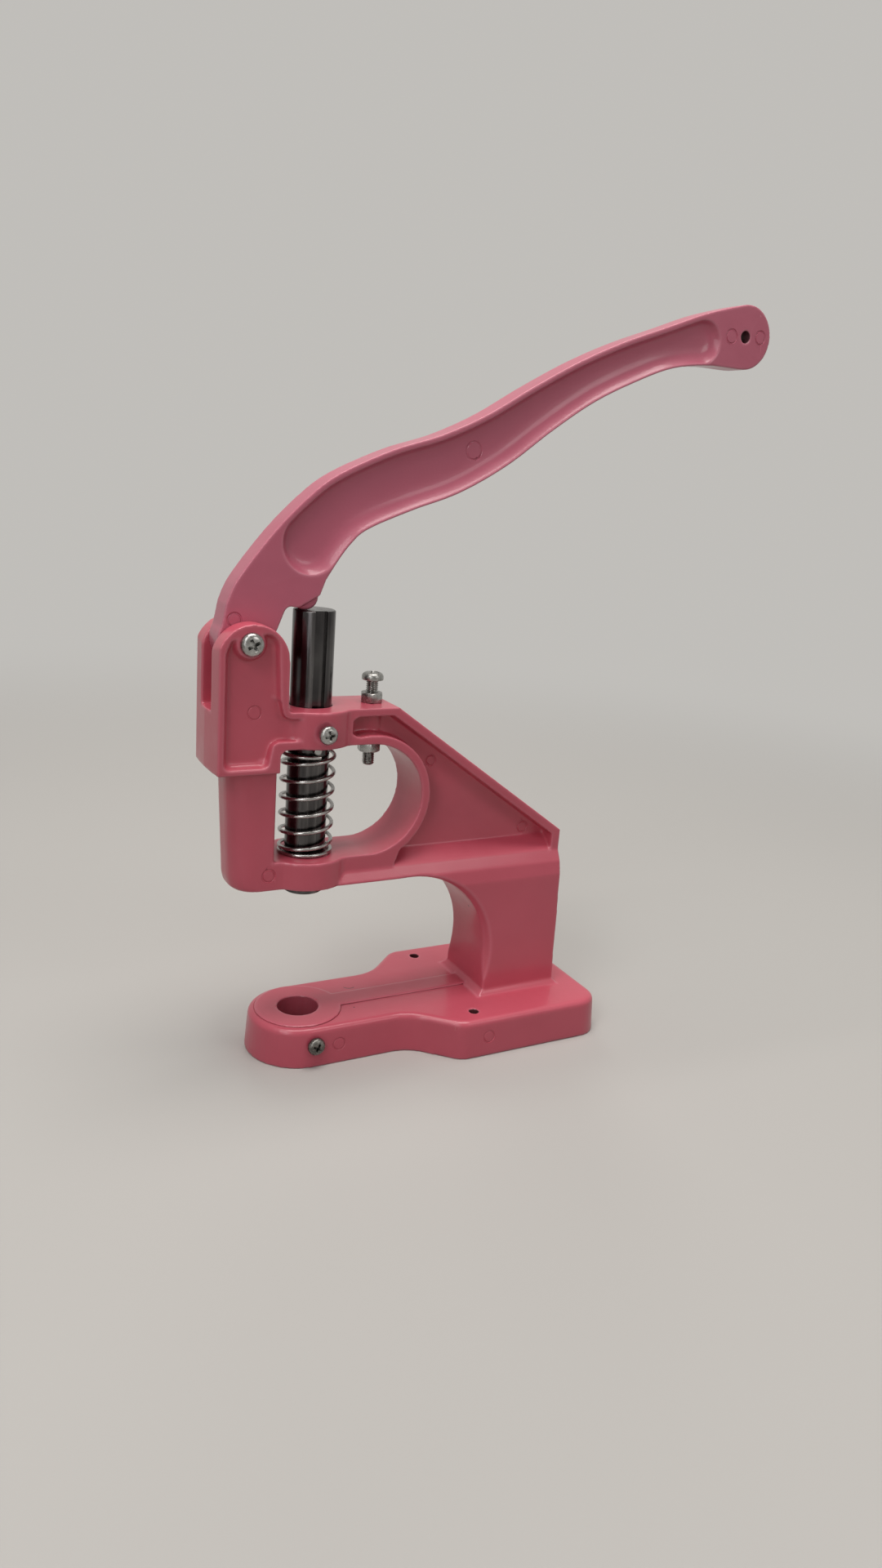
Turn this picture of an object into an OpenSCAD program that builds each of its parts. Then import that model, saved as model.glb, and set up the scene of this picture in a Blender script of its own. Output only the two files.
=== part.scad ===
// Hand lever press for button badges: a C-frame casting, a spring-returned ram and a curved lever.
// Millimetres. Z is up and runs along the ram axis, whose foot on the table is the origin.
// +X runs back to the column, -Y is the side with the screw heads.

/* [Foot] */
// Height of the flat top of the foot above the table
base_height = 20.4; // [15:0.1:28]
// Radius of the rounded nose, and half the width of the narrow front part
nose_radius = 26.7; // [24:0.1:32]
// Half the width of the wide rear part
foot_half_width = 47.3; // [38:0.1:60]
// Where the sides start to widen, behind the ram axis
shoulder_start = 51.3; // [40:0.1:64]
// Where the sides reach their full width
shoulder_end = 73.1; // [62:0.1:92]
// Distance from the ram axis to the rear end of the foot
foot_rear = 161; // [140:0.5:200]
// Rounding of the rear corners in plan
foot_corner = 14; // [4:0.5:24]
// Rounding of the top edge
foot_edge = 3; // [1:0.1:5]
// Wall thickness around the hollow underside
foot_wall = 5; // [3:0.1:8]
// Thickness of the top plate over the hollow
foot_plate = 6; // [4:0.1:9]
// Distance of the two table holes from the ram axis, backward
table_hole_x = 84.7; // [78:0.1:92]
// Distance of the two table holes from the middle plane
table_hole_y = 35.35; // [28:0.05:42]
// Diameter of the table holes
table_hole_d = 5; // [3:0.1:7]

/* [Die socket] */
// Diameter of the through bore that takes the lower die
die_bore_d = 21; // [16:0.1:25.2]
// Radius of the raised round land about the bore
land_radius = 22; // [18:0.1:25]
// Height of the raised land and strip above the foot
land_height = 1; // [0.4:0.1:2]
// Width of the raised strip from the land to the column
strip_width = 12.4; // [8:0.1:20]
// Height of the die clamping screw above the table
die_screw_z = 12.1; // [8:0.1:15]

/* [Column and throat] */
// Front face of the column
column_front = 98; // [88:0.5:112]
// Rear face of the column at the foot
column_rear = 143.2; // [136:0.1:156]
// Half the column width at the foot
column_half = 20.6; // [17:0.1:26]
// Height of the underside of the lower arm, which is the open height of the throat
throat_top = 92.2; // [78:0.1:112]
// Radius of the rounded inner corner of the throat
throat_radius = 46; // [34:0.5:54]

/* [Arms and window] */
// Thickness of the lower arm and lower guide
lower_guide_h = 14; // [11:0.1:18]
// Height of the round-ended window between the arms
window_h = 56; // [46:0.1:68]
// Middle of the window's round end, behind the ram axis
window_mid = 27.6; // [25:0.1:31]
// Thickness of the upper guide
upper_guide_h = 17.8; // [15:0.1:22]
// Half the thickness of arms, ring and sloping flange
arm_half = 15; // [12.5:0.1:17.5]
// Half the thickness of the web panel
web_half = 5; // [3.5:0.1:7]
// Wall left around the round end of the window
ring_wall = 4.8; // [3.5:0.1:6.5]
// Thickness of the sloping flange, measured square to it
flange_wall = 4.7; // [3.5:0.1:6]
// Where the flat top of the upper arm ends and the slope starts
slope_start = 40.2; // [37:0.1:48]
// Height of the lower end of the slope above the table
slope_end_z = 109.3; // [107:0.1:124]
// Wall of the two round guides outside the ram bore
guide_wall = 10.8; // [9.5:0.1:13]

/* [Front bar and fork] */
// Front end of the fork block, in front of the ram axis
fork_front = 50; // [46:0.1:58]
// Half the thickness of the fork block
fork_half = 18; // [16:0.1:19.4]
// Half the width of the slot the lever works in
slot_half = 7.5; // [6:0.1:9]
// Rear side of the ears, in front of the ram axis
ear_rear = 17.4; // [15:0.1:20]
// Height of the ear tips above the upper arm
ear_height = 40.3; // [36:0.1:46]
// Depth of the dished panel in each ear
panel_depth = 4; // [2:0.1:5.5]
// Underside of the fork block above the lower edge of the window
fork_drop = 45.2; // [38:0.1:52]
// Half the thickness of the front bar
bar_half = 14; // [11:0.1:16]
// Rear face of the front bar, in front of the ram axis
bar_rear = 20.4; // [18:0.1:22]

/* [Lever] */
// Pivot in front of the ram axis
pivot_x = 35.8; // [33:0.1:38]
// Pivot above the upper arm
pivot_rise = 31.5; // [28:0.1:35]
// Distance from the pivot back to the centre of the rounded handle end
handle_reach = 266.7; // [220:0.5:320]
// Width of the lever between the ears
lever_width = 14.2; // [12:0.1:16]
// Depth of the dished panel on each side of the lever
dish_depth = 4.3; // [2:0.1:5.5]
// Rim left above the dished panel
dish_rim = 2.6; // [1.5:0.1:4]
// Diameter of the hanging hole in the handle end
hang_hole_d = 5.8; // [4:0.1:9]

/* [Ram and spring] */
// Diameter of the ram
ram_d = 20; // [16:0.1:22]
// Length of the ram below the lower guide when raised
ram_foot = 5.9; // [3:0.1:12]
// Width of the guide slot milled down the ram
slot_w = 6; // [5.2:0.1:8]
// Depth of that slot
slot_deep = 2.5; // [1.5:0.1:3.5]
// Diameter of the socket in the foot of the ram for the upper die
ram_socket_d = 8.1; // [6:0.1:11]
// Depth of that socket
ram_socket_deep = 16; // [10:0.5:24]
// Wire diameter of the return spring
wire_d = 1.9; // [1.4:0.1:2.2]
// Gap between the spring's inside and the ram
spring_gap = 1.65; // [1.2:0.05:2.2]
// Diameter of the cross pin the spring pushes on
pin_d = 4; // [3:0.1:5]

/* [Screws] */
// Thread diameter of the pivot and stop screws
big_screw_d = 6; // [5:0.1:7]
// Thread diameter of the guide and die screws
small_screw_d = 5; // [4:0.1:5.4]
// Distance of the stop screw behind the ram axis
stop_screw_x = 31.6; // [30:0.1:36]
// Height of the stop screw's head above the upper arm
stop_height = 15; // [12.5:0.1:18]
// Length of the stop screw under its head
stop_length = 42.5; // [38:0.5:46]

/* [Hidden] */
enamel = [0.80, 0.38, 0.46];
steel_dark = [0.22, 0.21, 0.21];
steel_bright = [0.75, 0.75, 0.74];
fine = 72;
play = 0.05;
far = 400;

foot_lean = 1.2;
upper_z0 = throat_top + lower_guide_h + window_h;
arm_top = upper_z0 + upper_guide_h;
lower_z1 = throat_top + lower_guide_h;
window_r = window_h / 2;
window_c = [window_mid, lower_z1 + window_r];
ring_r = window_r + ring_wall;
throat_c = [column_front - throat_radius, throat_top - throat_radius];
ram_r = ram_d / 2;
guide_r = ram_r + guide_wall;
fork_bottom = lower_z1 + fork_drop;
column_top_x = column_rear - 1.6;
flange_dir = let (d = [column_top_x - slope_start, slope_end_z - arm_top]) d / norm(d);
flange_in = [flange_dir[1], -flange_dir[0]] * flange_wall;
pivot = [-pivot_x, arm_top + pivot_rise];
guide_screw_z = upper_z0 + 8.1;
guide_screw_seat = guide_r + 2.4;

// Head sizes follow the thread: across the head, and its height.
function head_d(d) = 1.78 * d;
function head_h(d) = 0.65 * d;
nut_h = 0.83 * big_screw_d;
nut_across = 1.67 * big_screw_d;

// Rounded nose under the lever that pushes the ram, measured back and up from the pivot.
nose_at = [pivot_x - 6.2, 19.6];
nose_r = 6.2;
nose_half = 5.4;

stop_boss_r = big_screw_d;
nut_seat = window_c[1] + sqrt(pow(window_r, 2) - pow(stop_screw_x + nut_across / 2 - window_c[0], 2));
pin_z = upper_z0 - pin_d / 2 - 0.6;
ram_top = pivot[1] + nose_at[1] - nose_r - 0.02;
ram_bottom = throat_top - ram_foot;

// Rounds the corners of an outline. Each corner is [x, y, radius].
function unit(v) = v / norm(v);
function corner_arc(a, p, b, r, n) =
    let (
        u = unit(a - p), v = unit(b - p),
        half = acos(max(-1, min(1, u * v))) / 2,
        c = p + unit(u + v) * r / sin(half),
        s = p + u * r / tan(half) - c,
        turn = (u[0] * v[1] - u[1] * v[0] > 0 ? -1 : 1) * (180 - 2 * half)
    )
    [for (i = [0:n]) let (t = turn * i / n)
        c + [s[0] * cos(t) - s[1] * sin(t), s[0] * sin(t) + s[1] * cos(t)]];
function rounded(c, n = 6) =
    let (m = len(c))
    [for (i = [0:m - 1]) let (p = [c[i][0], c[i][1]], r = c[i][2])
        for (q = r == 0 ? [p] : corner_arc(
            [c[(i + m - 1) % m][0], c[(i + m - 1) % m][1]], p,
            [c[(i + 1) % m][0], c[(i + 1) % m][1]], r, n)) q];

// Moves a closed outline sideways by d, to the left of its direction of travel.
function shifted(p, d) =
    let (n = len(p))
    [for (i = [0:n - 1]) let (t = unit(p[(i + 1) % n] - p[(i + n - 1) % n])) p[i] + d * [-t[1], t[0]]];

// Solid between rings of equal length. The first half of a ring faces its second half taken backward,
// so each end closes in strips across it.
module strip_loft(rings) {
    n = len(rings[0]);
    last = (len(rings) - 1) * n;
    end = [for (i = [0:n / 2 - 2]) for (t = [[i, i + 1, n - i - 2], [i, n - i - 2, n - i - 1]]) t];
    polyhedron(
        points = [for (r = rings) for (p = r) p],
        faces = concat(
            [for (t = end) [t[0], t[2], t[1]]],
            [for (t = end) [last + t[0], last + t[1], last + t[2]]],
            [for (k = [0:len(rings) - 2]) for (i = [0:n - 1])
                let (a = k * n + i, b = k * n + (i + 1) % n)
                for (t = [[a, b, a + n], [b, b + n, a + n]]) t]
        )
    );
}

// Prism standing on its edge: an outline in X and Z, thick along Y.
module upright(half) rotate([90, 0, 0]) translate([0, 0, -half]) linear_extrude(2 * half) children();

// Round bar along Y from y0 to y1.
module along_y(x, z, r, y0, y1) translate([x, y0, z]) rotate([-90, 0, 0])
    cylinder(h = y1 - y0, r = r, $fn = fine);

/* Foot */

foot_half_outline = let (r = nose_radius, w = foot_half_width) concat(
    [for (a = [180 - 3.75:-7.5:90]) r * [cos(a), sin(a)]], [[0, r]],
    corner_arc([0, r], [shoulder_start, r], [shoulder_end, w], 22, 6),
    corner_arc([shoulder_start, r], [shoulder_end, w], [foot_rear, w], 12, 6),
    corner_arc([shoulder_end, w], [foot_rear, w], [foot_rear, 0], foot_corner, 8)
);
foot_outline = concat(
    foot_half_outline,
    [for (i = [len(foot_half_outline) - 1:-1:0]) [foot_half_outline[i][0], -foot_half_outline[i][1]]]
);

module foot_solid() {
    z0 = base_height - foot_edge;
    // Sides lean in a little up to the rounded top edge.
    strip_loft(concat(
        [[for (p = foot_outline) [p[0], p[1], 0]]],
        [for (a = [0:22.5:90])
            [for (p = shifted(foot_outline, -foot_lean - foot_edge * (1 - cos(a))))
                [p[0], p[1], z0 + foot_edge * sin(a)]]]
    ));
    cylinder(h = base_height + land_height, r = land_radius, $fn = fine);
    translate([0, -strip_width / 2, base_height / 2])
        cube([column_front + 4, strip_width, base_height / 2 + land_height]);
}

module foot_hollow() {
    h = base_height - foot_plate;
    rib = 4;
    difference() {
        translate([0, 0, -1]) linear_extrude(h + 1) polygon(shifted(foot_outline, -foot_wall));
        translate([0, 0, -2]) cylinder(h = h + 4, r = die_bore_d / 2 + 6, $fn = fine);
        translate([-7, -nose_radius, -2]) cube([14, nose_radius, h + 4]);
        translate([0, -rib / 2, -2]) cube([foot_rear, rib, h + 4]);
        translate([table_hole_x - rib / 2, -foot_half_width, -2]) cube([rib, 2 * foot_half_width, h + 4]);
        for (s = [-1, 1]) translate([table_hole_x, s * table_hole_y, -2])
            cylinder(h = h + 4, r = table_hole_d / 2 + 4, $fn = fine);
    }
    // The hollow runs on up inside the column.
    difference() {
        translate([column_front + 6.5, -column_half + 6, -1])
            cube([column_rear - column_front - 13, 2 * column_half - 12, throat_top - 11]);
        translate([0, -rib / 2, -2]) cube([foot_rear, rib, h + 2]);
    }
}

/* Column, arms and web */

shoulder_half = [
    [web_half, throat_top + 12.6], [arm_half, throat_top + 6.2], [arm_half + 3, throat_top],
    [column_half - 1.2, throat_top - 7], [column_half, base_height], [column_half + 0.1, base_height - 6],
];

module column() difference() {
    intersection() {
        upright(column_half + 2) polygon([
            [12, throat_top], [throat_c[0], throat_top], throat_c, [column_front, throat_c[1]],
            [column_front, base_height - 6], [column_rear, base_height - 6], [column_top_x, throat_top + 14],
            [12, throat_top + 14]
        ]);
        rotate([90, 0, 90]) linear_extrude(far) polygon(concat(
            shoulder_half,
            [for (i = [len(shoulder_half) - 1:-1:0]) [-shoulder_half[i][0], shoulder_half[i][1]]]
        ));
    }
    along_y(throat_c[0], throat_c[1], throat_radius, -far, far);
    // Soft edge round the throat, a slim cone on each side.
    for (s = [-1, 1]) translate([throat_c[0], s * (arm_half + 1), throat_c[1]]) rotate([-90 * s, 0, 0])
        cylinder(h = 7, r1 = throat_radius - 1, r2 = throat_radius + 6, $fn = fine);
}

module column_foot_fillet() hull() {
    translate([column_front - 3.5, -column_half - 2, base_height - 1])
        cube([column_rear - column_front + 5.5, 2 * column_half + 4, 1.1]);
    translate([column_front, -column_half + 0.2, base_height])
        cube([column_rear - column_front - 0.1, 2 * column_half - 0.4, 3]);
}

module web_pocket(s) {
    inner = [slope_start, arm_top] + flange_in;
    drop = (column_top_x - 5 - inner[0]) / flange_dir[0] * flange_dir[1];
    slot_r = (arm_top - 4 - upper_z0 - 4) / 2;
    slot_c = [20.4, upper_z0 + 4 + slot_r];
    y = web_half + arm_half;
    difference() {
        translate([0, s * y, 0]) union() {
            upright(arm_half) polygon([
                [slot_c[0], arm_top - 4], [inner[0] + 0.2, arm_top - 4], [column_top_x - 5, inner[1] + drop],
                [column_top_x - 5, throat_top + 3], [41, throat_top + 3], [45.6, lower_z1 + 1],
                window_c, [slot_c[0], slot_c[1] - slot_r]
            ]);
            along_y(slot_c[0], slot_c[1], slot_r, -arm_half, arm_half);
        }
        along_y(window_c[0], window_c[1], ring_r - 0.2, -far, far);
    }
}

module web() difference() {
    union() {
        difference() {
            upright(arm_half) polygon([
                [0, throat_top], [throat_c[0] - 2, throat_top], [throat_c[0] + 10, throat_top + 4],
                [column_top_x, throat_top + 4], [column_top_x, slope_end_z], [slope_start, arm_top],
                [0, arm_top]
            ]);
            web_pocket(-1);
            web_pocket(1);
        }
        translate([stop_screw_x, 0, upper_z0 - 1]) cylinder(h = upper_guide_h, r = stop_boss_r, $fn = fine);
    }
    difference() {
        union() {
            along_y(window_c[0], window_c[1], window_r, -far, far);
            translate([-1, -far, lower_z1]) cube([window_c[0] + 1, 2 * far, window_h]);
        }
        translate([stop_screw_x, 0, nut_seat]) cylinder(h = 10, r = stop_boss_r, $fn = fine);
    }
    // Spot face that squares the rounded ceiling for the lower stop nut.
    translate([stop_screw_x, 0, nut_seat - 5]) cylinder(h = 5, r = stop_boss_r + 0.3, $fn = fine);
}

// Plan of the soft blend of radius r between a guide and a face f from the middle, guide end first.
function guide_blend(f, r) =
    let (c = [sqrt(pow(guide_r + r, 2) - pow(f + r, 2)), f + r], from = 180 + atan2(c[1], c[0]))
    [for (i = [0:4]) let (a = from + (270 - from) * i / 4) c + r * [cos(a), sin(a)]];

module blend_blocks(f, back, h) {
    curve = guide_blend(f, 5);
    outline = concat(curve, [[curve[4][0], f - 1], [guide_r / 2, f - 1]]);
    for (s = [-1, 1]) linear_extrude(h) polygon([for (p = outline) [back * p[0], s * p[1]]]);
}

module guides() {
    translate([0, 0, upper_z0]) {
        cylinder(h = upper_guide_h, r = guide_r, $fn = fine);
        blend_blocks(arm_half, 1, upper_guide_h);
    }
    translate([0, 0, throat_top]) {
        cylinder(h = lower_guide_h, r = guide_r, $fn = fine);
        blend_blocks(arm_half, 1, lower_guide_h);
        blend_blocks(bar_half, -1, lower_guide_h);
    }
}

/* Front bar and fork */

module bar_plan(z, front, h) translate([0, 0, z]) linear_extrude(h)
    polygon(rounded([[-front, -bar_half, 10.5], [-bar_rear, -bar_half, 0.8], [-bar_rear, bar_half, 0.8],
        [-front, bar_half, 10.5]]));

module front_bar() {
    front = fork_front - 6.8;
    hull() {
        bar_plan(fork_bottom + 1, front, 0.1);
        bar_plan(throat_top + 5.5, front - 2.7, 0.1);
        bar_plan(throat_top + 1.6, front - 3.6, 0.1);
        bar_plan(throat_top, front - 5.8, 0.1);
    }
    translate([-bar_rear - 4, -bar_half, throat_top]) cube([bar_rear, 2 * bar_half, lower_guide_h]);
}

ear_w = fork_front - ear_rear + 1.2;
ear_mid = -ear_rear - ear_w / 2;
fork_outline = let (f = -fork_front - 1.2) rounded([
    [f, fork_bottom, 1.5], [f, arm_top + ear_height, ear_w / 2 - 0.01],
    [-ear_rear, arm_top + ear_height, ear_w / 2 - 0.01], [-ear_rear, arm_top, 2.5],
    [-8, arm_top, 0], [-8, upper_z0, 0], [-bar_rear, upper_z0, 3.5], [-bar_rear, fork_bottom, 0]
], 10);

// Outline of the dished panel, drawn in by d. Its top corners reach up on both sides of the screw seat.
function panel_outline(d) = let (left = -fork_front + 2.8 + d, low = fork_bottom + 2.7 + d) rounded([
    [left, low, 3],
    [left, pivot[1] - 4.5, 5],
    [left + 2.6, pivot[1] + 1.6 - d, 1.8],
    [-ear_rear - 5.4 - d, pivot[1] + 5.6 - d, 6],
    [-bar_rear - 0.6 - d, arm_top + 4, 6],
    [-bar_rear - 5.8 - d, low, 2.6]
], 8);

// Outline of the run that leads from the panel to the guide, between an upper and a lower lip.
run_outline = rounded([
    [-bar_rear - 12, fork_bottom + 6, 0], [-bar_rear - 12, arm_top + 7, 0], [-bar_rear - 5, arm_top + 8, 0],
    [-bar_rear - 0.7, arm_top + 5.5, 2], [-bar_rear + 1.2, arm_top - 3, 4.5], [-8, arm_top - 3.2, 0],
    [-8, upper_z0 + 4.2, 0], [-bar_rear - 3.8, upper_z0 + 4.6, 5], [-bar_rear - 6.2, fork_bottom + 6, 0]
], 8);

// Cutter for the panel on one side of the fork, with its short run toward the guide.
module ear_panel(s) {
    floor_y = fork_half - panel_depth;
    module slab(y, p) translate([0, s * y, 0]) upright(0.005) polygon(p);
    hull() {
        slab(fork_half + 0.5, panel_outline(-0.3));
        slab(floor_y + 1, panel_outline(1.2));
        slab(floor_y, panel_outline(2.6));
    }
    mirror([0, s > 0 ? 1 : 0, 0]) intersection() {
        upright(far) polygon(run_outline);
        linear_extrude(far) polygon(concat(
            [for (p = guide_blend(floor_y, 8)) -p],
            [[-far, -floor_y], [-far, -far], [-8, -far], [-8, -17.2]]
        ));
    }
}

module fork() difference() {
    union() {
        difference() {
            intersection() {
                upright(fork_half) polygon(fork_outline);
                linear_extrude(far) polygon([
                    [-fork_front - 1.2, 0], [-fork_front, -fork_half], [0, -fork_half], [0, fork_half],
                    [-fork_front, fork_half]
                ]);
            }
            ear_panel(-1);
            ear_panel(1);
        }
        // Screw seats stand level with the rim of each panel.
        for (s = [-1, 1]) intersection() {
            translate([pivot[0], s * (fork_half - panel_depth - 1), pivot[1]]) rotate([-90 * s, 0, 0])
                cylinder(h = panel_depth + 1, r1 = 8.6, r2 = 6.4, $fn = fine);
            upright(fork_half) polygon(fork_outline);
        }
    }
    translate([-far / 2, -slot_half, arm_top]) cube([far / 2 - 9, 2 * slot_half, far]);
}

module frame() color(enamel) difference() {
    union() {
        difference() {
            union() {
                foot_solid();
                column();
                column_foot_fillet();
            }
            foot_hollow();
        }
        web();
        front_bar();
        fork();
        guides();
    }
    translate([0, 0, throat_top - 1]) cylinder(h = far, r = ram_r + play, $fn = fine);
    translate([0, 0, -1]) cylinder(h = base_height + land_height + 2, r = die_bore_d / 2, $fn = fine);
    along_y(pivot[0], pivot[1], big_screw_d / 2 + play, -far, far);
    translate([stop_screw_x, 0, nut_seat - 5]) cylinder(h = far, r = big_screw_d / 2 + play, $fn = fine);
    along_y(0, guide_screw_z, small_screw_d / 2 + play, -guide_r - 1, -ram_r + 1);
    along_y(0, guide_screw_z, head_d(small_screw_d) / 2 + 0.3, -guide_r - 1, -guide_r + 0.7);
    along_y(0, die_screw_z, small_screw_d / 2 + play, -nose_radius - 1, -die_bore_d / 2 + 2);
    for (s = [-1, 1]) translate([table_hole_x, s * table_hole_y, -1])
        cylinder(h = base_height + 2, r = table_hole_d / 2, $fn = fine);
}

/* Lever */

// Centre line of the handle from the pivot: [back, up, half its height], drawn for a reach of 266.7.
reach_scale = handle_reach / 266.7;
stations = [for (s = [
    [14, 21, 17.8], [25.8, 38.3, 16.3], [37.8, 52.8, 14.7], [49.8, 62.6, 14.1], [73.8, 73.6, 14.4],
    [97.8, 82.3, 14.0], [121.8, 94.8, 13.0], [145.8, 111.1, 11.6], [169.8, 125.9, 10.5], [193.8, 137.6, 10.1],
    [217.8, 147.1, 10.0], [241.8, 153.8, 12.6], [266.7, 157.7, 15.8], [290, 161, 17]
]) s[0] < 50 ? s : [50 + (s[0] - 50) * (handle_reach - 50) / 216.7, s[1] * reach_scale, s[2]]];
hub_r = 12;

// Smooth curve through the stations, u counted in stations.
function along(u) =
    let (
        i = min(max(floor(u), 1), len(stations) - 3), t = u - i,
        a = stations[i - 1], b = stations[i], c = stations[i + 1], d = stations[i + 2]
    )
    0.5 * (2 * b + (c - a) * t + (2 * a - 5 * b + 4 * c - d) * t * t + (3 * b - a - 3 * c + d) * t * t * t);
function heading(u) = let (d = along(u + 0.01) - along(u - 0.01)) unit([d[0], d[1]]);
// Point at signed height h from the centre line.
function beside(u, h) = let (p = along(u), t = heading(u)) [p[0], p[1]] + h * [-t[1], t[0]];

lever_first = 1;
lever_last = len(stations) - 2;
lever_steps = 56;
lever_outline = let (
    tip = along(lever_last), t = heading(lever_last),
    us = [for (i = [0:lever_steps]) lever_first + (lever_last - lever_first) * i / lever_steps]
) concat(
    [for (u = us) beside(u, along(u)[2])],
    [for (a = [80:-10:-80]) [tip[0], tip[1]] + tip[2] * (cos(a) * t + sin(a) * [-t[1], t[0]])],
    [for (i = [lever_steps:-1:0]) beside(us[i], -along(us[i])[2])],
    rounded([
        [38.2, 27.4, 0], [35.6, 20.4, 1.5], [25.2, 14.6, 2], [19.8, 15.6, 3.2], [15.6, 4.7, 0],
        [hub_r * cos(-12), hub_r * sin(-12), 0]
    ], 4),
    [for (a = [-20:-10:-210]) hub_r * [cos(a), sin(a)]],
    [[-9.4, 10.6], [-8.4, 16], [-6.6, 20.8], [-4.7, 24.8], [-2.3, 28.6], [2.7, 35.5], [8, 42.3]]
);

// One ring of the dish: d is how far it is drawn in from the rim above, e from the rim below.
dish_u0 = 1.36;
dish_u1 = lever_last - 1.13;
dish_caps = 8;
function dish_ring(d, e, y) =
    let (
        n = 44,
        ru = function(u) along(u)[2] - dish_rim - d, rd = function(u) along(u)[2] - 0.9 - e,
        rc = function(u, a) (ru(u) + rd(u)) / 2 + (ru(u) - rd(u)) / 2 * sin(a),
        cap = function(u, a) let (p = along(u), t = heading(u))
            [p[0], p[1]] + rc(u, a) * (cos(a) * t + sin(a) * [-t[1], t[0]]),
        pts = concat(
            [for (i = [dish_caps - 0.5:-1:0.5]) cap(dish_u0, 90 + 90 * i / dish_caps)],
            [for (i = [0:n]) let (u = dish_u0 + (dish_u1 - dish_u0) * i / n) beside(u, ru(u))],
            [for (i = [2 * dish_caps - 0.5:-1:0.5]) cap(dish_u1, 90 * i / dish_caps - 90)],
            [for (i = [n:-1:0]) let (u = dish_u0 + (dish_u1 - dish_u0) * i / n) beside(u, -rd(u))],
            [for (i = [dish_caps - 0.5:-1:0.5]) cap(dish_u0, 180 + 90 * i / dish_caps)]
        )
    )
    [for (p = pts) [p[0], y, p[1]]];

module dish(s) {
    w = lever_width / 2;
    k = dish_depth;
    mirror([0, s > 0 ? 1 : 0, 0]) strip_loft([
        dish_ring(3.6, 8.2, -w + k), dish_ring(2.0, 5.6, -w + 0.93 * k), dish_ring(1.1, 3.4, -w + 0.72 * k),
        dish_ring(0.5, 1.5, -w + 0.38 * k), dish_ring(0, 0, -w), dish_ring(-0.2, -0.4, -w - 1)
    ]);
}

module lever() color(enamel) translate([pivot[0], 0, pivot[1]]) difference() {
    union() {
        difference() {
            upright(lever_width / 2) polygon(lever_outline);
            dish(-1);
            dish(1);
        }
        // The nose is a short barrel across the lever.
        translate([nose_at[0], 0, nose_at[1]]) rotate([90, 0, 0]) rotate_extrude($fn = fine) polygon([
            [0, -nose_half], [nose_r - 1.2, -nose_half],
            [nose_r - 0.3, 0.6 - nose_half], [nose_r, 1.8 - nose_half],
            [nose_r, nose_half - 1.8], [nose_r - 0.3, nose_half - 0.6],
            [nose_r - 1.2, nose_half], [0, nose_half]
        ]);
    }
    along_y(0, 0, big_screw_d / 2 + play, -far, far);
    let (p = stations[lever_last]) along_y(p[0] - 1, p[1], hang_hole_d / 2, -far, far);
}

/* Ram, pin and spring */

module ram() color(steel_dark) difference() {
    e = 0.8;
    h = ram_top - ram_bottom;
    translate([0, 0, ram_bottom]) rotate_extrude($fn = fine)
        polygon([[0, 0], [ram_r - e, 0], [ram_r, e], [ram_r, h - e], [ram_r - e, h], [0, h]]);
    // Guide slot on the screw side, round at its lower end and open at the top.
    slot_z0 = guide_screw_z - small_screw_d / 2 - 1 + slot_w / 2;
    translate([-slot_w / 2, -ram_r - 1, slot_z0]) cube([slot_w, slot_deep + 1, ram_top]);
    along_y(0, slot_z0, slot_w / 2, -ram_r - 1, -ram_r + slot_deep);
    along_y(0, pin_z, pin_d / 2 + 0.02, -far, far);
    translate([0, 0, ram_bottom - 1]) cylinder(h = ram_socket_deep + 1, r = ram_socket_d / 2, $fn = fine);
}

spring_r = ram_r + spring_gap + wire_d / 2;

module spring_pin() {
    h = spring_r + wire_d / 2 - 0.6;
    r = pin_d / 2;
    color(steel_bright) translate([0, 0, pin_z]) rotate([90, 0, 0]) rotate_extrude($fn = fine)
        polygon([[0, -h], [r - 0.5, -h], [r, -h + 0.5], [r, h - 0.5], [r - 0.5, h], [0, h]]);
}

module return_spring() {
    turns = 7.35;
    steps = 20;
    sides = 8;
    z0 = lower_z1 + wire_d / 2;
    z1 = pin_z - pin_d / 2 - wire_d / 2 - 0.1;
    rise = z1 - z0;
    count = turns * steps;
    // Closed turns at both ends, an even pitch between them.
    function height(n) = z0 + rise * lookup(n, [[0, 0], [0.7, 0.012], [1.1, 0.045], [1.6, 0.125], [5.9, 0.87],
        [6.35, 0.95], [6.75, 1], [turns, 1]]);
    function ring(i) = let (n = i / steps, a = 150 + 360 * n, c = [cos(a), sin(a)])
        [for (k = [0:sides - 1]) let (b = 360 * k / sides, q = spring_r + wire_d / 2 * cos(b))
            [q * c[0], q * c[1], height(n) + wire_d / 2 * sin(b)]];
    color(steel_bright) polyhedron(
        points = [for (i = [0:count]) for (p = ring(i)) p],
        faces = concat(
            [for (k = [1:sides - 2]) [0, k, k + 1]],
            [for (k = [1:sides - 2]) count * sides * [1, 1, 1] + [0, k + 1, k]],
            [for (i = [0:count - 1]) for (k = [0:sides - 1])
                let (a = i * sides + k, b = i * sides + (k + 1) % sides)
                for (t = [[a, a + sides, b], [b, a + sides, b + sides]]) t]
        )
    );
}

/* Screws and nuts */

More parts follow.
